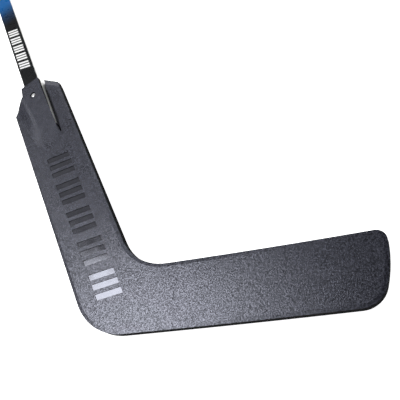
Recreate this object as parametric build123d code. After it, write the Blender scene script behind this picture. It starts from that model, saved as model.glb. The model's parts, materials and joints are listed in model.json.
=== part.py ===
"""Goalkeeper's street hockey stick: a moulded paddle and blade on a laminated wooden shaft.

Frame: the stick lies on its back. +X runs along the blade from heel to toe, +Y runs up the
stick, +Z comes out of the front (striking) face. The origin is on the flat of the ice edge,
near the heel and half-way through the blade's thickness.

Paddle coordinates: across from the paddle's outer edge towards the toe, and up along that
edge from the corner where it would meet the ice edge.
"""
from build123d import *
import math
import os

# ---- moulding: overall ---------------------------------------------------------------------
LIE_ANGLE = 115.0            # between the ice edge and the paddle's edges, degrees
ORIGIN_FROM_HEEL = 60.0      # from the heel corner, along the ice edge, to the origin
PLATE_THICKNESS = 12.6       # paddle and blade
PADDLE_WIDTH = 90.0
BLADE_HEIGHT = 82.6
HEEL_RADIUS = 75.0
THROAT_RADIUS = 70.0         # inside corner between paddle and blade

# ---- moulding: toe, measured from the heel corner ------------------------------------------
TOE_REACH = 369.5
TOE_RADIUS = 160.0           # the toe's own gentle bow
TOE_CENTRE_HEIGHT = 69.5
TOE_BOTTOM_RADIUS = 30.0
TOE_TOP_RADIUS = 12.5
CURVE_START = 120.0          # the blade is flat up to here
CURVE_RADIUS = 3300.0        # and bends forward from here to the toe

# ---- moulding: neck, in paddle coordinates -------------------------------------------------
SHOULDER_LEFT = 409.7        # where the outer edge turns in
SHOULDER_RIGHT = 423.9       # where the inner edge turns in
NECK_CORNER = (27.1, 432.1)
NECK_TOP_LEFT = 29.6
NECK_TOP = 449.1
WING_LEFT = 68.6             # the wing stands beside the shaft, across a slot
WING_TOP = 447.6
SOCKET_SKIN = 4.0            # wall over the shaft's front and back faces, at the neck's top
SOCKET_FOOT = 298.1          # the raised socket starts just under the paddle's face here
SOCKET_FOOT_SUNK = 0.3
SOCKET_FOOT_LEFT = 10.1      # its side swells from here across to its crest
SOCKET_CREST_LEFT = 34.1
FOOT_DRIFT = 24.0            # how far the foot has moved out by the neck's top
CREST_DRIFT = 9.0
SOCKET_EASING = 0.4          # how slowly the side leaves its foot and nears its crest
SOCKET_STEPS = 7
SLOT_TIP = (65.1, 310.6)     # where its sides would meet, before rounding
SLOT_SIDE = 353.1            # the slot is parallel from here up
SLOT_TIP_RADIUS = 1.2
SLOT_FLOOR = 1.5             # above the middle plane
SLOT_RAMP_START = 426.1
SLOT_RAMP_ANGLE = 13.0

# ---- moulding: bevelled rims ---------------------------------------------------------------
RIM_WIDTH = 4.6              # on the face
RIM_DEPTH = 0.6              # down the edge
WING_RIM_WIDTH = 9.0         # along the wing's slanting top
WING_RIM_DEPTH = 2.1

# ---- sunk marks on the front of the paddle: groups of slanting bars ------------------------
MARK_GROUPS = 5
BARS_PER_GROUP = 3
GROUP_PITCH = 53.5
FIRST_GROUP = 52.1           # middle of the lowest group, up the paddle
MARK_MIDDLE = 45.6           # across the paddle
BAR_LENGTH = 37.0
BAR_WIDTH = 9.0
BAR_PITCH = 15.0
BAR_DROP = 10.0              # how much lower a bar's inner end is
MARK_DEPTH = 0.7

# ---- shaft ---------------------------------------------------------------------------------
SHAFT_WIDTH = 31.0
SHAFT_CHAMFER = 1.8
FACE_PLY = 2.9
CORE_PLY = 5.0
PRINT_FILM = 0.3
SHAFT_TURN = 0.9             # the shaft leans this much less than the paddle's edges, degrees
SHAFT_CROSSING = (48.3, 456.1)   # a point of its centre line, in paddle coordinates
SHAFT_BOTTOM = 346.1
SHAFT_TOP = 1250.0
BUTT_CHAMFER = 2.5
TENON_TAPER_TOP = 401.1      # the shaft's end is planed thinner below here, front and back
TENON_HALF_END = 6.6         # half its thickness at the bottom

# ---- neck rivet ----------------------------------------------------------------------------
RIVET_PLACE = (45.3, 420.6)  # in paddle coordinates
SHANK_DIAMETER = 4.8
HEAD_DIAMETER = 7.6
HEAD_HEIGHT = 1.6
HEAD_ROUNDING = 1.1
RECESS_DIAMETER = 11.0
RECESS_DEPTH = 2.6
WASHER_DIAMETER = 9.6
WASHER_THICKNESS = 0.8
CLENCH_DIAMETER = 7.0
CLENCH_HEIGHT = 1.0

# ---- worked-out values ---------------------------------------------------------------------
HALF_PLATE = PLATE_THICKNESS / 2
HALF_STACK = FACE_PLY + 1.5 * CORE_PLY
HALF_NECK = HALF_STACK + PRINT_FILM + SOCKET_SKIN
HALF_SHAFT_WIDTH = SHAFT_WIDTH / 2
SHAFT_START = SHAFT_BOTTOM - SHAFT_CROSSING[1]
SHAFT_LENGTH = SHAFT_TOP - SHAFT_BOTTOM
BEYOND = 60.0                # how far a cutting solid stands clear of what it cuts
LIE = math.radians(LIE_ANGLE)

PADDLE = Plane(
    origin=(-ORIGIN_FROM_HEEL, 0, 0),
    x_dir=(math.sin(LIE), -math.cos(LIE), 0),
    z_dir=(0, 0, 1),
)
PADDLE_SIDE = Plane(origin=PADDLE.origin, x_dir=PADDLE.y_dir, z_dir=PADDLE.x_dir)
SHAFT = Plane(PADDLE.location * Location((*SHAFT_CROSSING, 0), (0, 0, -SHAFT_TURN)))
SHAFT_SIDE = Plane(origin=SHAFT.origin, x_dir=SHAFT.y_dir, z_dir=SHAFT.x_dir)
SHAFT_SECTION = Plane(
    origin=SHAFT.from_local_coords((0, SHAFT_START, 0)),
    x_dir=SHAFT.x_dir,
    z_dir=SHAFT.y_dir,
)


def shaft_to_paddle(across, along):
    """A place given in the shaft's own coordinates, in paddle coordinates."""
    return PADDLE.to_local_coords(SHAFT.from_local_coords((across, along, 0)))


def prism(face, bottom, top):
    """A flat face made solid between two heights over its own plane."""
    return extrude(Pos(0, 0, bottom) * face, amount=top - bottom)


def polygon(*points):
    return make_face(Polyline(*points, close=True))


def nearest(vertices, x, y):
    """The corner of an outline that lies nearest to a place."""
    return vertices.sort_by_distance(Vector(x, y, 0))[0]


# ---- moulding ------------------------------------------------------------------------------
def blade_face():
    """The blade's outline: two parallel edges and a bowed toe."""
    block = Rectangle(TOE_REACH, BLADE_HEIGHT, align=(Align.MIN, Align.MIN))
    bow = Pos(TOE_REACH - TOE_RADIUS, TOE_CENTRE_HEIGHT) * Circle(TOE_RADIUS)
    heel_half = Rectangle(TOE_REACH / 2, BLADE_HEIGHT, align=(Align.MIN, Align.MIN))
    face = (block & bow) + heel_half
    face = fillet(nearest(face.vertices(), TOE_REACH, 0), TOE_BOTTOM_RADIUS)
    return fillet(nearest(face.vertices(), TOE_REACH, BLADE_HEIGHT), TOE_TOP_RADIUS)


def paddle_face():
    """The paddle's outline with its neck and wing, in paddle coordinates."""
    return polygon(
        (0, 0),
        (PADDLE_WIDTH, 0),
        (PADDLE_WIDTH, SHOULDER_RIGHT),
        (WING_LEFT, WING_TOP),
        (SHAFT_CROSSING[0] + HALF_SHAFT_WIDTH, NECK_TOP),
        (NECK_TOP_LEFT, NECK_TOP),
        NECK_CORNER,
        (0, SHOULDER_LEFT),
    )


def outline():
    """The whole moulding seen from the front, with its heel and throat rounded."""
    face = Pos(-ORIGIN_FROM_HEEL, 0) * blade_face() + PADDLE * paddle_face()
    face = fillet(nearest(face.vertices(), -ORIGIN_FROM_HEEL, 0), HEEL_RADIUS)
    throat_up = (BLADE_HEIGHT + PADDLE_WIDTH * math.cos(LIE)) / math.sin(LIE)
    throat = PADDLE.from_local_coords((PADDLE_WIDTH, throat_up, 0))
    return fillet(nearest(face.vertices(), throat.X, throat.Y), THROAT_RADIUS)


def on_arc(radius, angle):
    """A point of the bent blade's side view, at an angle past the start of the bend."""
    x = CURVE_START - ORIGIN_FROM_HEEL + radius * math.sin(angle)
    return (x, CURVE_RADIUS - radius * math.cos(angle))


def bent_slab():
    """A plate of the moulding's thickness, flat and then bent forward, larger than it."""
    far_left = -2 * TOE_REACH
    turn = TOE_REACH / CURVE_RADIUS
    front = CURVE_RADIUS - HALF_PLATE
    back = CURVE_RADIUS + HALF_PLATE
    side_view = [
        Line((far_left, HALF_PLATE), on_arc(front, 0)),
        ThreePointArc(on_arc(front, 0), on_arc(front, turn / 2), on_arc(front, turn)),
        Line(on_arc(front, turn), on_arc(back, turn)),
        ThreePointArc(on_arc(back, turn), on_arc(back, turn / 2), on_arc(back, 0)),
        Line(on_arc(back, 0), (far_left, -HALF_PLATE)),
        Line((far_left, -HALF_PLATE), (far_left, HALF_PLATE)),
    ]
    return extrude(Plane.XZ * make_face(side_view), amount=SHAFT_TOP, both=True)


def rim_bevelled(plate, side):
    """The plate with a shallow bevel round its front (side = 1) or back (side = -1) face."""
    flats = plate.faces().filter_by(Plane.XY).sort_by(Axis.Z)
    flat = flats[-1] if side > 0 else flats[0]
    bend_line = flat.edges().sort_by(Axis.X)[-1]
    rim = [edge for edge in flat.edges() if edge != bend_line]
    return plate.chamfer(RIM_WIDTH, RIM_DEPTH, rim, face=flat)


def socket_section(up):
    """The raised socket cut across. Its side swells from a foot to a crest, both drifting out."""
    share = min(1.0, (up - SOCKET_FOOT) / (NECK_TOP - SOCKET_FOOT))
    foot = SOCKET_FOOT_LEFT - FOOT_DRIFT * share**3
    crest = SOCKET_CREST_LEFT - CREST_DRIFT * share**3
    base = HALF_PLATE - SOCKET_FOOT_SUNK
    top = base + (HALF_NECK - base) * share * share * (3 - 2 * share)
    easing = SOCKET_EASING * (crest - foot)
    swell = Bezier((foot, base), (foot + easing, base), (crest - easing, top), (crest, top))
    rest = Polyline(
        (crest, top),
        (2 * PADDLE_WIDTH, top),
        (2 * PADDLE_WIDTH, 0),
        (foot, 0),
        (foot, base),
    )
    across = Plane(origin=(0, up, 0), x_dir=(1, 0, 0), z_dir=(0, -1, 0))
    return across * make_face([swell, *rest.edges()])


def socket_hill():
    """The raised socket over the shaft's front face, running out smoothly down the paddle."""
    step = (NECK_TOP - SOCKET_FOOT) / SOCKET_STEPS
    swelling = [socket_section(SOCKET_FOOT + step * i) for i in range(SOCKET_STEPS + 1)]
    return loft(swelling) + loft([swelling[-1], socket_section(NECK_TOP + BEYOND)], ruled=True)


def slot_cutter():
    """What is cut from the front between the shaft and the wing, down to a ramped floor."""
    left_bottom = shaft_to_paddle(HALF_SHAFT_WIDTH, SHAFT_START)
    left_top = shaft_to_paddle(HALF_SHAFT_WIDTH, BEYOND)
    plan = polygon(
        (left_top.X, left_top.Y),
        (left_bottom.X, left_bottom.Y),
        SLOT_TIP,
        (WING_LEFT, SLOT_SIDE),
        (WING_LEFT, left_top.Y),
    )
    plan = fillet(nearest(plan.vertices(), *SLOT_TIP), SLOT_TIP_RADIUS)
    drop = (left_top.Y - SLOT_RAMP_START) * math.tan(math.radians(SLOT_RAMP_ANGLE))
    floor = polygon(
        (0, -BEYOND),
        (0, SLOT_FLOOR),
        (SLOT_RAMP_START, SLOT_FLOOR),
        (left_top.Y, SLOT_FLOOR - drop),
        (left_top.Y, -BEYOND),
    )
    return PADDLE * prism(plan, -HALF_PLATE, BEYOND) - PADDLE_SIDE * prism(floor, 0, PADDLE_WIDTH)


def beside_shaft():
    """Everything beyond the shaft's inner side, where the socket stops."""
    beside = Rectangle(2 * BEYOND, 8 * BEYOND, align=(Align.MIN, Align.CENTER))
    return SHAFT * prism(Pos(HALF_SHAFT_WIDTH, 0) * beside, -BEYOND, BEYOND)


def wing_bevels():
    """What is cut from the wing's slanting top edge, front and back."""
    outer = Vector(PADDLE_WIDTH, SHOULDER_RIGHT, HALF_PLATE)
    along = Vector(WING_LEFT, WING_TOP, HALF_PLATE) - outer
    inward = Vector(0, 0, 1).cross(along)
    section = Plane(origin=outer, x_dir=inward, z_dir=along)
    slope = WING_RIM_DEPTH / WING_RIM_WIDTH
    wedge = polygon(
        (WING_RIM_WIDTH, 0),
        (-WING_RIM_WIDTH, -2 * slope * WING_RIM_WIDTH),
        (-WING_RIM_WIDTH, WING_RIM_WIDTH),
        (WING_RIM_WIDTH, WING_RIM_WIDTH),
    )
    front = PADDLE * extrude(section * wedge, amount=along.length + WING_RIM_WIDTH, both=True)
    return front + mirror(front, about=Plane.XY)


def sunk_marks():
    """Cutters for the groups of slanting bars on the front of the paddle."""
    half = BAR_LENGTH / 2
    bars = []
    for group in range(MARK_GROUPS):
        for bar in range(BARS_PER_GROUP):
            middle = FIRST_GROUP + group * GROUP_PITCH
            middle += (bar - (BARS_PER_GROUP - 1) / 2) * BAR_PITCH
            face = polygon(
                (-half, BAR_DROP / 2 - BAR_WIDTH / 2),
                (half, -BAR_DROP / 2 - BAR_WIDTH / 2),
                (half, -BAR_DROP / 2 + BAR_WIDTH / 2),
                (-half, BAR_DROP / 2 + BAR_WIDTH / 2),
            )
            bars.append(PADDLE * Pos(MARK_MIDDLE, middle) * face)
    return [prism(bar, HALF_PLATE - MARK_DEPTH, HALF_PLATE + BEYOND) for bar in bars]


# ---- shaft ---------------------------------------------------------------------------------
def shaft_blank():
    """The glued-up wooden shaft as one solid, with chamfered edges and butt end."""
    section = chamfer(Rectangle(SHAFT_WIDTH, 2 * HALF_STACK).vertices(), SHAFT_CHAMFER)
    blank = extrude(SHAFT_SECTION * section, amount=SHAFT_LENGTH)
    butt = blank.faces().sort_by(Axis(SHAFT.origin, SHAFT.y_dir))[-1]
    return chamfer(butt.edges(), BUTT_CHAMFER)


def tenon_tapers():
    """What is planed off the front and back of the shaft's end, where the socket gets thinner."""
    start = TENON_TAPER_TOP - SHAFT_CROSSING[1]
    top = HALF_STACK + PRINT_FILM
    slope = (top - TENON_HALF_END) / (start - SHAFT_START)
    side_view = polygon(
        (start, top),
        (start - BEYOND, top - slope * BEYOND),
        (start - BEYOND, BEYOND),
        (start, BEYOND),
    )
    front = extrude(SHAFT_SIDE * side_view, amount=SHAFT_WIDTH, both=True)
    return front + mirror(front, about=Plane.XY)


def shaft_layer(bottom, top):
    """The part of the shaft's length between two heights, endless otherwise."""
    plan = Pos(0, SHAFT_START) * Rectangle(
        2 * SHAFT_WIDTH, SHAFT_LENGTH, align=(Align.CENTER, Align.MIN)
    )
    return SHAFT * prism(plan, bottom, top)


def shaft_pieces():
    """The five glued plies and the printed film on each broad face."""
    blank = shaft_blank()
    levels = [-HALF_STACK, -HALF_STACK + FACE_PLY]
    levels += [levels[-1] + CORE_PLY, levels[-1] + 2 * CORE_PLY, levels[-1] + 3 * CORE_PLY]
    levels.append(HALF_STACK)
    names = ["back_face_ply", "back_core_ply", "middle_core_ply", "front_core_ply", "front_face_ply"]
    pieces = {}
    for name, bottom, top in zip(names, levels[:-1], levels[1:]):
        pieces["shaft_" + name] = blank & shaft_layer(bottom, top)
    film_plan = Pos(0, SHAFT_START) * Rectangle(
        SHAFT_WIDTH - 2 * SHAFT_CHAMFER, SHAFT_LENGTH - BUTT_CHAMFER, align=(Align.CENTER, Align.MIN)
    )
    film = SHAFT * prism(film_plan, HALF_STACK, HALF_STACK + PRINT_FILM)
    pieces["shaft_front_print"] = film
    pieces["shaft_back_print"] = mirror(film, about=Plane.XY)
    tapers = tenon_tapers()
    return {name: piece - tapers for name, piece in pieces.items()}


# ---- neck rivet ----------------------------------------------------------------------------
def disc(diameter, bottom, top):
    """A disc on the rivet's axis between two heights."""
    return PADDLE * Pos(*RIVET_PLACE) * prism(Circle(diameter / 2), bottom, top)


def neck_rivet():
    """A solid rivet: a domed head sunk in the front recess, clenched at the back."""
    seat = HALF_NECK - RECESS_DEPTH
    head = disc(HEAD_DIAMETER, seat, seat + HEAD_HEIGHT)
    head = fillet(head.edges().sort_by(Axis.Z)[-1], HEAD_ROUNDING)
    shank = disc(SHANK_DIAMETER, -seat - WASHER_THICKNESS, seat)
    clench = disc(CLENCH_DIAMETER, -seat - WASHER_THICKNESS - CLENCH_HEIGHT, -seat - WASHER_THICKNESS)
    clench = fillet(clench.edges().sort_by(Axis.Z)[0], CLENCH_HEIGHT / 2)
    return head + shank + clench


def rivet_washer():
    seat = HALF_NECK - RECESS_DEPTH
    ring = disc(WASHER_DIAMETER, -seat - WASHER_THICKNESS, -seat)
    return ring - disc(SHANK_DIAMETER, -BEYOND, BEYOND)


def moulding(shaft):
    """The one-piece paddle and blade, with its socket, slot, rivet recesses and marks."""
    face = outline()
    plate = (prism(face, -BEYOND, BEYOND) & bent_slab()).solid()
    plate = rim_bevelled(rim_bevelled(plate, 1), -1)
    plate -= wing_bevels()
    hill = PADDLE * socket_hill() & PADDLE * prism(paddle_face(), -BEYOND, BEYOND)
    hill -= beside_shaft()
    body = plate + hill + mirror(hill, about=Plane.XY)
    body -= slot_cutter()
    for piece in shaft.values():
        body -= piece
    seat = HALF_NECK - RECESS_DEPTH
    body -= disc(SHANK_DIAMETER, -BEYOND, BEYOND)
    body -= disc(RECESS_DIAMETER, seat, BEYOND)
    body -= disc(RECESS_DIAMETER, -BEYOND, -seat)
    for mark in sunk_marks():
        body -= mark
    return body


def main():
    os.makedirs("parts", exist_ok=True)
    shaft = shaft_pieces()
    parts = {"paddle_and_blade": moulding(shaft)}
    for name, piece in shaft.items():
        parts[name] = piece - disc(SHANK_DIAMETER, -BEYOND, BEYOND)
    parts["neck_rivet"] = neck_rivet()
    parts["rivet_washer"] = rivet_washer()
    for name, piece in parts.items():
        export_step(piece, f"parts/{name}.step")


main()
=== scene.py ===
"""Looks of the goalkeeper's street hockey stick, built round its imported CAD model.

Frame: the stick lies on its back. +X runs along the blade to the toe, +Y up the stick, and +Z
out of the front face. Lengths are in metres. The CAD nodes are shown as they are, and each gets
procedural materials by the kind of surface its faces belong to.
"""
import json
import math

import bpy
from mathutils import Matrix, Vector


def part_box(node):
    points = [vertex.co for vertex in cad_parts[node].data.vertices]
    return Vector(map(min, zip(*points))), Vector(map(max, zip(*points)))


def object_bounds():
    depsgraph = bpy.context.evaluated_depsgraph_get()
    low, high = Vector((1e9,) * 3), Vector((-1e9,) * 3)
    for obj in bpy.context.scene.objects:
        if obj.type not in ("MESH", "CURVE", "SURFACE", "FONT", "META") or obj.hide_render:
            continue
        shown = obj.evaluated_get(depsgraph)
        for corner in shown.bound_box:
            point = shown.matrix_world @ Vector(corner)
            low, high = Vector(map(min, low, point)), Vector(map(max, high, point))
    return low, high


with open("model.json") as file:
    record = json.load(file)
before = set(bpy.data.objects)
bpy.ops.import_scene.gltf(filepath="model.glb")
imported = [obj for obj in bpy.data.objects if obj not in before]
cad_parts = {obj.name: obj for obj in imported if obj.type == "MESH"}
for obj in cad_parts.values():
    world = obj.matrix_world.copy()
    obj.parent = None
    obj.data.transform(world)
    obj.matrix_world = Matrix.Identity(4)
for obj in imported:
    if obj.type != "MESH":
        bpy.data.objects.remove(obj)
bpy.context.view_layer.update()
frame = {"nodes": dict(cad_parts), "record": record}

MM = 0.001
WHITE = (1, 1, 1, 1)

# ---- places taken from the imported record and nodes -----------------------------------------
GRIP = next(m for m in frame["record"]["mounts"] if m["name"] == "shaft_grip")
GRIP_ABOVE_NECK = 400 * MM       # from just over the neck to the grip mount
SHAFT_UP = Vector(GRIP["axis"]).normalized()
NECK = Vector(GRIP["pos_m"]) - GRIP_ABOVE_NECK * SHAFT_UP
BUTT_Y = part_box("shaft_middle_core_ply")[1].y
BUTT = (BUTT_Y - NECK.y) / SHAFT_UP.y   # up the shaft from the neck

# ---- how the moulding's surfaces are told apart --------------------------------------------
FLAT = 0.985                     # a flat face's normal is at least this upright
STEEP = 0.5                      # and the normal of an edge at most this
MARK_FLOOR = 5.6 * MM            # over the middle plane
MARKS_END = 60 * MM              # along the blade
SLOT_FLOOR_MOST = 2.8 * MM       # off the middle plane
SLOT_START = 200 * MM            # up the stick
MARGIN = 0.1 * MM


# ---- node helpers --------------------------------------------------------------------------
NOISE_LOW, NOISE_HIGH = 0.3, 0.7    # nearly all of a noise lies between these


def node(tree, kind, inputs=None, **settings):
    """A shader node. Each input is a value, or the output socket that feeds it."""
    made = tree.nodes.new("ShaderNode" + kind)
    for name, value in settings.items():
        setattr(made, name, value)
    for key, value in (inputs or {}).items():
        if isinstance(value, bpy.types.NodeSocket):
            tree.links.new(value, made.inputs[key])
        else:
            made.inputs[key].default_value = value
    return made


def maths(tree, operation, *values):
    """The result of one Math node."""
    inputs = dict(enumerate(values))
    return node(tree, "Math", inputs, operation=operation).outputs[0]


def blend_colours(tree, share, first, second):
    """The first colour where the share is 0, and the second where it is 1."""
    inputs = {0: share, 6: first, 7: second}
    return node(tree, "Mix", inputs, data_type="RGBA").outputs[2]


def remap(tree, value, low, high, to_low=0.0, to_high=1.0):
    """A value mapped from one range to another and held inside it."""
    inputs = {"Value": value, 1: low, 2: high, 3: to_low, 4: to_high}
    return node(tree, "MapRange", inputs).outputs[0]


def noise(tree, place, scale, detail=3.0, roughness=0.5):
    """Smooth noise with so many swells to the metre."""
    inputs = {"Vector": place, "Scale": scale, "Detail": detail, "Roughness": roughness}
    return node(tree, "TexNoise", inputs).outputs["Fac"]


def object_place(tree):
    return node(tree, "TexCoord").outputs["Object"]


def stretched(tree, place, by):
    return node(tree, "VectorMath", {0: place, 1: by}, operation="MULTIPLY").outputs[0]


def coordinate(tree, place, axis):
    return node(tree, "SeparateXYZ", {0: place}).outputs[axis]


def along_shaft(tree):
    """Places in the shaft's own frame: x across it, y up it from the neck, z forward."""
    turn = math.atan2(SHAFT_UP.y, SHAFT_UP.x) - math.pi / 2
    offset = Matrix.Rotation(-turn, 3, "Z") @ NECK
    inputs = {"Vector": object_place(tree), "Location": -offset, "Rotation": (0, 0, -turn)}
    return node(tree, "Mapping", inputs).outputs[0]


def drift(tree, scale, low=0.0, high=1.0, **texture):
    """A value that drifts between two bounds over a surface."""
    cloud = noise(tree, object_place(tree), scale, **texture)
    return remap(tree, cloud, NOISE_LOW, NOISE_HIGH, low, high)


def surface(name, colour, roughness, bump=None, **others):
    """A Principled material. Its looks are plain values, or callables that take the tree."""
    material = bpy.data.materials.new(name)
    material.use_nodes = True
    tree = material.node_tree
    tree.nodes.clear()
    shader = node(tree, "BsdfPrincipled")
    looks = {"Base_Color": colour, "Roughness": roughness, **others}
    for look, value in looks.items():
        value = value(tree) if callable(value) else value
        socket = shader.inputs[look.replace("_", " ")]
        if isinstance(value, bpy.types.NodeSocket):
            tree.links.new(value, socket)
        else:
            socket.default_value = value
    if bump:
        tree.links.new(node(tree, "Bump", bump(tree)).outputs[0], shader.inputs["Normal"])
    tree.links.new(shader.outputs[0], node(tree, "OutputMaterial").inputs[0])
    return material


# ---- moulded plastic -----------------------------------------------------------------------
# The grain's colours run from painted shade in its pits to painted highlight on its tops.
GRAIN_DARK = (0.0015, 0.0016, 0.0022, 1)
GRAIN_LIGHT = (0.054, 0.056, 0.0757, 1)
SMOOTH_DARK = (0.0060, 0.0060, 0.0080, 1)
SMOOTH_LIGHT = (0.0110, 0.0110, 0.0145, 1)
# The moulding's walls are painted far darker than its faces, as painted shade; the paler streaks
# are scuffs of real wear.
EDGE_PAINTED_SHADE = (0.0025, 0.0025, 0.0030, 1)
EDGE_SCUFF_IN_PAINTED_SHADE = (0.0130, 0.0130, 0.0150, 1)
SHEEN = (0.83, 0.855, 1.0, 1)
SWELL_HEIGHT = 2.0               # of the grain's soft swells
DOME_HEIGHT = 0.35               # and of the finer domes on them
PITS, TOPS = 0.55, 1.15          # the grain's heights, from its pits to its tops
GRAIN_PAINTED_SHADING_SHARE = 0.8                # of the change in colour that follows the grain's height, as painted shade in the pits and painted highlight on the tops
CLOUD_SHARE = 0.2                # and that follows the moulding's clouds
SCUFF_STRETCH = (40.0, 900.0, 1500.0)   # swells to the metre on each axis


def plastic(name, *looks, **others):
    """A surface of the moulding, whose highlights are faintly blue."""
    return surface(name, *looks, Specular_Tint=SHEEN, **others)


def pebbles(tree):
    """Height of the moulded grain: soft uneven swells, with finer domes between."""
    place = object_place(tree)
    inputs = {"Vector": place, "Scale": 960.0, "Smoothness": 0.8}
    domes = node(tree, "TexVoronoi", inputs, feature="SMOOTH_F1").outputs["Distance"]
    swells = noise(tree, place, scale=580.0, detail=2.0, roughness=0.6)
    swells = maths(tree, "MULTIPLY", swells, SWELL_HEIGHT)
    return maths(tree, "MULTIPLY_ADD", domes, -DOME_HEIGHT, swells)


def over_pebbles(tree, at_pits, at_tops):
    """A value that changes from the grain's pits to its tops."""
    return remap(tree, pebbles(tree), PITS, TOPS, at_pits, at_tops)


def pebble_colour(tree):
    """Charcoal with the faint clouds of a moulding, with painted highlight on the tops of the
    grain and painted shade in its pits.
    """
    painted_grain_shading = over_pebbles(tree, 0.0, GRAIN_PAINTED_SHADING_SHARE)
    clouds = drift(tree, scale=14.0, high=CLOUD_SHARE, detail=5.0, roughness=0.6)
    return blend_colours(tree, maths(tree, "ADD", painted_grain_shading, clouds), GRAIN_DARK, GRAIN_LIGHT)


def pebble_roughness(tree):
    smears = drift(tree, scale=38.0, low=0.24, high=0.27, detail=4.0)
    return maths(tree, "ADD", smears, over_pebbles(tree, at_pits=0.03, at_tops=-0.03))


def pebble_shine(tree):
    """The pits between the domes catch less light."""
    return over_pebbles(tree, at_pits=0.24, at_tops=0.74)


def pebble_bump(tree):
    return {"Height": pebbles(tree), "Distance": 0.12 * MM, "Strength": 0.8}


def smooth_colour(tree):
    clouds = drift(tree, scale=22.0, detail=4.0)
    return blend_colours(tree, clouds, SMOOTH_DARK, SMOOTH_LIGHT)


def smooth_bump(tree):
    ripples = noise(tree, object_place(tree), scale=420.0, detail=2.0)
    return {"Height": ripples, "Distance": 0.05 * MM, "Strength": 0.25}


def gloss_roughness(tree):
    return drift(tree, scale=90.0, low=0.10, high=0.17)


def satin_roughness(tree):
    return drift(tree, scale=60.0, low=0.18, high=0.26)


def scuffs(tree):
    """Fine scratches along the edges, from 0 to 1."""
    place = stretched(tree, object_place(tree), SCUFF_STRETCH)
    streaks = noise(tree, place, scale=1.0, detail=4.0, roughness=0.7)
    return remap(tree, streaks, 0.55, 0.75)


# Painted shade on the moulding's edges, a little paler where they are scuffed.
def edge_shade_and_scuff_colour(tree):
    return blend_colours(tree, scuffs(tree), EDGE_PAINTED_SHADE, EDGE_SCUFF_IN_PAINTED_SHADE)


def edge_roughness(tree):
    return remap(tree, scuffs(tree), 0.0, 1.0, 0.62, 0.74)


def edge_bump(tree):
    return {"Height": scuffs(tree), "Distance": 0.06 * MM, "Strength": 0.5}


# ---- wood of the shaft ---------------------------------------------------------------------
LACQUER = (0.86, 0.86, 0.85, 1)
LACQUER_SHADE = (0.74, 0.74, 0.73, 1)
GLUE = (0.42, 0.41, 0.39, 1)
END_GRAIN = (0.56, 0.38, 0.20, 1)
END_GRAIN_DARK = (0.33, 0.19, 0.09, 1)
FIBRE_STRETCH = (900.0, 14.0, 900.0)    # swells to the metre across, up and through the shaft
PORE_STRETCH = (700.0, 700.0, 2600.0)
FIBRE_HEIGHT = 0.3               # against a glue line's depth of 1
FIBRE_SHADE = 0.3                # how far the fibres darken the lacquer
FACE_PLY_SHADE = 0.05            # how dark the lacquer is between them
CORE_PLY_SHADE = 0.25
GLUE_LINE = 0.25 * MM
GLUE_SHARE = 0.55                # of the glue's colour that shows through the lacquer
BARE_END = 4 * MM                # of each ply, at the butt


def wood_fibres(tree):
    """Long fibres of the plies, felt faintly through the lacquer."""
    place = stretched(tree, along_shaft(tree), FIBRE_STRETCH)
    return noise(tree, place, scale=1.0, detail=5.0, roughness=0.6)


def bare_wood(tree):
    place = stretched(tree, along_shaft(tree), PORE_STRETCH)
    pores = remap(tree, noise(tree, place, scale=1.0, detail=4.0), 0.35, 0.7)
    return blend_colours(tree, pores, END_GRAIN, END_GRAIN_DARK)


def ply(name, low, high, shade):
    """White-lacquered ply: faint fibres, a thin line at each glue joint, bare wood at the butt."""

    def glue(tree):
        """From 0 to 1 at the ply's low and high faces."""
        height = coordinate(tree, object_place(tree), "Z")
        from_low = maths(tree, "SUBTRACT", height, low)
        from_high = maths(tree, "SUBTRACT", high, height)
        nearest = maths(tree, "MINIMUM", from_low, from_high)
        return remap(tree, nearest, 0.0, GLUE_LINE, 1.0, 0.0)

    def colour(tree):
        fibres = remap(tree, wood_fibres(tree), 0.3, 0.75, shade, shade + FIBRE_SHADE)
        white = blend_colours(tree, fibres, LACQUER, LACQUER_SHADE)
        seams = maths(tree, "MULTIPLY", glue(tree), GLUE_SHARE)
        white = blend_colours(tree, seams, white, GLUE)
        up = coordinate(tree, along_shaft(tree), "Y")
        at_butt = maths(tree, "GREATER_THAN", up, BUTT - BARE_END)
        return blend_colours(tree, at_butt, white, bare_wood(tree))

    def roughness(tree):
        return remap(tree, wood_fibres(tree), NOISE_LOW, NOISE_HIGH, 0.28, 0.40)

    def bump(tree):
        grooves = maths(tree, "MULTIPLY", glue(tree), -1.0)
        height = maths(tree, "MULTIPLY_ADD", wood_fibres(tree), FIBRE_HEIGHT, grooves)
        return {"Height": height, "Distance": 0.08 * MM, "Strength": 0.5}

    return surface(name, colour, roughness, bump)


# ---- printed film --------------------------------------------------------------------------
FILM_BLACK = (0.0020, 0.0026, 0.0034, 1)
FILM_NAVY = (0.004, 0.022, 0.060, 1)
FILM_BLUE = (0.006, 0.095, 0.290, 1)
PRINT_WHITE = (0.80, 0.80, 0.80, 1)
SMUDGE_SHARE = 0.006             # of white in the palest smudges
NAVY_FROM = 166 * MM             # up the shaft from the neck, as are the next five
NAVY_AT = 192 * MM
BLUE_AT = 222 * MM
BLUE_UNTIL = 520 * MM
BLACK_AGAIN = 640 * MM
BARS_FROM = 37 * MM
BAR_GROUPS = 5
BAR_GROUP_PITCH = 22.6 * MM
BARS_PER_GROUP = 3
BAR_PITCH = 6.4 * MM
BAR_THICKNESS = 3.9 * MM
BAR_SLANT = 0.42
BARS_MIDDLE = -1 * MM            # across the shaft
BARS_HALF_WIDTH = 9.5 * MM


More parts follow.
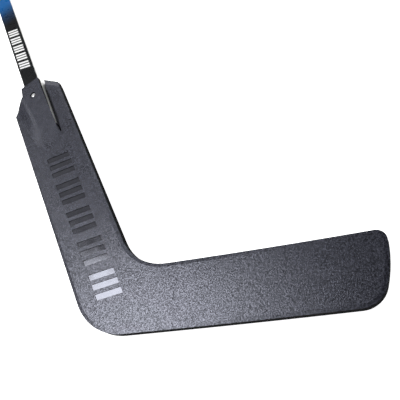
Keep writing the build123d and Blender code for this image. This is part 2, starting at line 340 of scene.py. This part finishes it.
def printed_bars(tree):
    """1 on the groups of slanting bars printed across the shaft, and 0 elsewhere."""
    place = along_shaft(tree)
    across = maths(tree, "SUBTRACT", coordinate(tree, place, "X"), BARS_MIDDLE)
    up = maths(tree, "MULTIPLY_ADD", across, BAR_SLANT, coordinate(tree, place, "Y"))
    up = maths(tree, "SUBTRACT", up, BARS_FROM)
    in_group = maths(tree, "FLOORED_MODULO", up, BAR_GROUP_PITCH)
    in_bar = maths(tree, "FLOORED_MODULO", in_group, BAR_PITCH)
    shown = maths(tree, "GREATER_THAN", up, 0.0)
    limits = [
        (up, BAR_GROUPS * BAR_GROUP_PITCH),
        (in_group, BARS_PER_GROUP * BAR_PITCH),
        (in_bar, BAR_THICKNESS),
        (maths(tree, "ABSOLUTE", across), BARS_HALF_WIDTH),
    ]
    for value, limit in limits:
        shown = maths(tree, "MULTIPLY", shown, maths(tree, "LESS_THAN", value, limit))
    return shown


def film_colour(tree):
    """Black from the neck up, fading to blue above the bars and back to black for the grip."""
    up = coordinate(tree, along_shaft(tree), "Y")
    ground = blend_colours(tree, remap(tree, up, NAVY_FROM, NAVY_AT), FILM_BLACK, FILM_NAVY)
    ground = blend_colours(tree, remap(tree, up, NAVY_AT, BLUE_AT), ground, FILM_BLUE)
    ground = blend_colours(tree, remap(tree, up, BLUE_UNTIL, BLACK_AGAIN), ground, FILM_BLACK)
    smudges = noise(tree, object_place(tree), scale=60.0)
    smudges = remap(tree, smudges, 0.4, 0.8, 0.0, SMUDGE_SHARE)
    ground = blend_colours(tree, smudges, ground, PRINT_WHITE)
    return blend_colours(tree, printed_bars(tree), ground, PRINT_WHITE)


def film_roughness(tree):
    return drift(tree, scale=70.0, low=0.24, high=0.34)


def film_bump(tree):
    return {"Height": wood_fibres(tree), "Distance": 0.04 * MM, "Strength": 0.35}


# ---- steel of the rivet --------------------------------------------------------------------
STEEL = (0.86, 0.86, 0.87, 1)
STEEL_DULL = (0.66, 0.67, 0.69, 1)


def steel_colour(tree):
    blotches = noise(tree, object_place(tree), scale=700.0, detail=4.0)
    return blend_colours(tree, remap(tree, blotches, 0.35, 0.7), STEEL, STEEL_DULL)


def steel_roughness(tree):
    return drift(tree, scale=1500.0, low=0.22, high=0.36)


def steel_bump(tree):
    dents = noise(tree, object_place(tree), scale=2200.0)
    return {"Height": dents, "Distance": 0.03 * MM, "Strength": 0.4}


# ---- give every CAD node its materials -----------------------------------------------------
def face_kind(face):
    """Which of the moulding's surfaces a face belongs to."""
    upright = abs(face.normal.z)
    place = face.center
    if upright < STEEP:
        return "edge"
    if upright > FLAT:
        if abs(place.z - MARK_FLOOR) < MARGIN and place.x < MARKS_END:
            return "gloss"
        if abs(place.z) < SLOT_FLOOR_MOST and place.y > SLOT_START:
            return "satin"
    return "grained"


def dress_moulding(moulding):
    """Grain on the faces, gloss in the sunk marks, satin in the slot, and edges in painted shade
    with scuffs.
    """
    kinds = {
        "grained": plastic(
            "moulded_grain", pebble_colour, pebble_roughness, pebble_bump,
            Specular_IOR_Level=pebble_shine,
        ),
        "gloss": plastic(
            "moulded_gloss", smooth_colour, gloss_roughness, smooth_bump,
            Specular_IOR_Level=0.85,
        ),
        "satin": plastic("moulded_satin", smooth_colour, satin_roughness, smooth_bump),
        "edge": plastic(
            "moulded_edge_painted_shade", edge_shade_and_scuff_colour, edge_roughness, edge_bump,
            # Almost no reflection, so the edges stay as dark as their painted shade.
            Specular_IOR_Level=0.005,
        ),
    }
    moulding.data.materials.clear()
    for material in kinds.values():
        moulding.data.materials.append(material)
    order = list(kinds)
    for face in moulding.data.polygons:
        face.material_index = order.index(face_kind(face))


def dress(names, material):
    for name in names:
        mesh = frame["nodes"][name].data
        mesh.materials.clear()
        mesh.materials.append(material)


def dress_all():
    dress_moulding(frame["nodes"]["paddle_and_blade"])
    plies = [name for name in frame["nodes"] if name.endswith("_ply")]
    for name in plies:
        low, high = (corner.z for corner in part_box(name))
        shade = FACE_PLY_SHADE if "face" in name else CORE_PLY_SHADE
        dress([name], ply(name + "_wood", low, high, shade))
    film = surface(
        "printed_film", film_colour, film_roughness, film_bump, Specular_IOR_Level=0.15
    )
    dress(["shaft_front_print", "shaft_back_print"], film)
    steel = surface("rivet_steel", steel_colour, steel_roughness, steel_bump, Metallic=1.0)
    dress(["neck_rivet", "rivet_washer"], steel)


# ---- studio --------------------------------------------------------------------------------
FLOOR_PALE = (0.90, 0.90, 0.90, 1)
FLOOR_PALER = (0.93, 0.93, 0.93, 1)
FLOOR_REACH = 40.0
FAR_WALL_HEIGHT = 4.5
FAR_WALL_SIDES = 48
WORLD_STRENGTH = 0.04
STICK_MIDDLE = (-0.1, 0.3, 0)
CAMERA_PLACE = (0.33347, -0.13814, 0.59095)
CAMERA_FORWARD = (-0.34474, 0.42645, -0.83624)
CAMERA_UP = (0.17125, 0.90447, 0.39064)


def floor_mesh():
    """A broad disc, with a far wall standing round it."""
    turns = [math.tau * side / FAR_WALL_SIDES for side in range(FAR_WALL_SIDES)]
    ring = [(FLOOR_REACH * math.cos(turn), FLOOR_REACH * math.sin(turn)) for turn in turns]
    corners = [(x, y, z) for z in (0, FAR_WALL_HEIGHT) for x, y in ring]
    faces = [tuple(range(FAR_WALL_SIDES))]
    for side in range(FAR_WALL_SIDES):
        ahead = (side + 1) % FAR_WALL_SIDES
        faces.append((ahead, side, side + FAR_WALL_SIDES, ahead + FAR_WALL_SIDES))
    mesh = bpy.data.meshes.new("floor")
    mesh.from_pydata(corners, [], faces)
    return mesh


def floor_colour(tree):
    patches = noise(tree, object_place(tree), scale=3.0)
    return blend_colours(tree, patches, FLOOR_PALE, FLOOR_PALER)


def make_floor():
    """A plain, pale floor that the stick lies on."""
    floor = bpy.data.objects.new("floor", floor_mesh())
    floor.location.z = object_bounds()[0].z
    bpy.context.scene.collection.objects.link(floor)
    white = surface(
        "floor_white", floor_colour, roughness=0.8,
        Emission_Color=WHITE, Emission_Strength=1.0,
    )
    floor.data.materials.append(white)


def softbox(name, centre, size, radiance, aim=None, turn=0.0):
    """A rectangular soft light. It faces straight down and turned, or towards a place."""
    data = bpy.data.lights.new(name, "AREA")
    data.shape = "RECTANGLE"
    data.size, data.size_y = size
    data.energy = radiance * math.pi * size[0] * size[1]
    lamp = bpy.data.objects.new(name, data)
    lamp.location = centre
    lamp.rotation_euler.z = turn
    if aim is not None:
        lamp.rotation_mode = "QUATERNION"
        lamp.rotation_quaternion = (Vector(aim) - Vector(centre)).to_track_quat("-Z", "Y")
    bpy.context.scene.collection.objects.link(lamp)


def make_world():
    world = bpy.data.worlds.new("studio")
    bpy.context.scene.world = world
    world.use_nodes = True
    background = world.node_tree.nodes["Background"]
    background.inputs["Color"].default_value = WHITE
    background.inputs["Strength"].default_value = WORLD_STRENGTH


def make_lights():
    """One strong light over the heel, and weaker ones round it."""
    softbox("key", (-0.83, 0.13, 1.5), (0.80, 1.03), radiance=12.4, turn=-0.194)
    softbox("ceiling", (-2.2, 1.8, 1.9), (2.4, 2.0), radiance=0.5)
    softbox("side", (-1.585, 1.08, 1.5), (0.26, 0.74), radiance=3.9, turn=0.44)
    softbox("rim", (-0.52, 1.2, 1.5), (0.5, 0.26), radiance=5.0)
    softbox("back", (-0.7, 2.6, 1.0), (1.6, 1.6), radiance=1.5, aim=STICK_MIDDLE)
    softbox("fill", (1.3, 1.9, 0.6), (1.2, 1.2), radiance=3.0, aim=STICK_MIDDLE)


def make_camera():
    data = bpy.data.cameras.new("camera")
    data.sensor_width = 36.0
    data.lens = 49.48
    data.clip_start = 0.01
    data.clip_end = 50.0
    camera = bpy.data.objects.new("camera", data)
    forward = Vector(CAMERA_FORWARD)
    up = Vector(CAMERA_UP)
    across = forward.cross(up)
    turn = Matrix((across, up, -forward)).transposed()
    camera.matrix_world = Matrix.Translation(CAMERA_PLACE) @ turn.to_4x4()
    bpy.context.scene.collection.objects.link(camera)
    bpy.context.scene.camera = camera


dress_all()
make_floor()
make_world()
make_lights()
make_camera()
bpy.context.scene.view_settings.view_transform = "Standard"
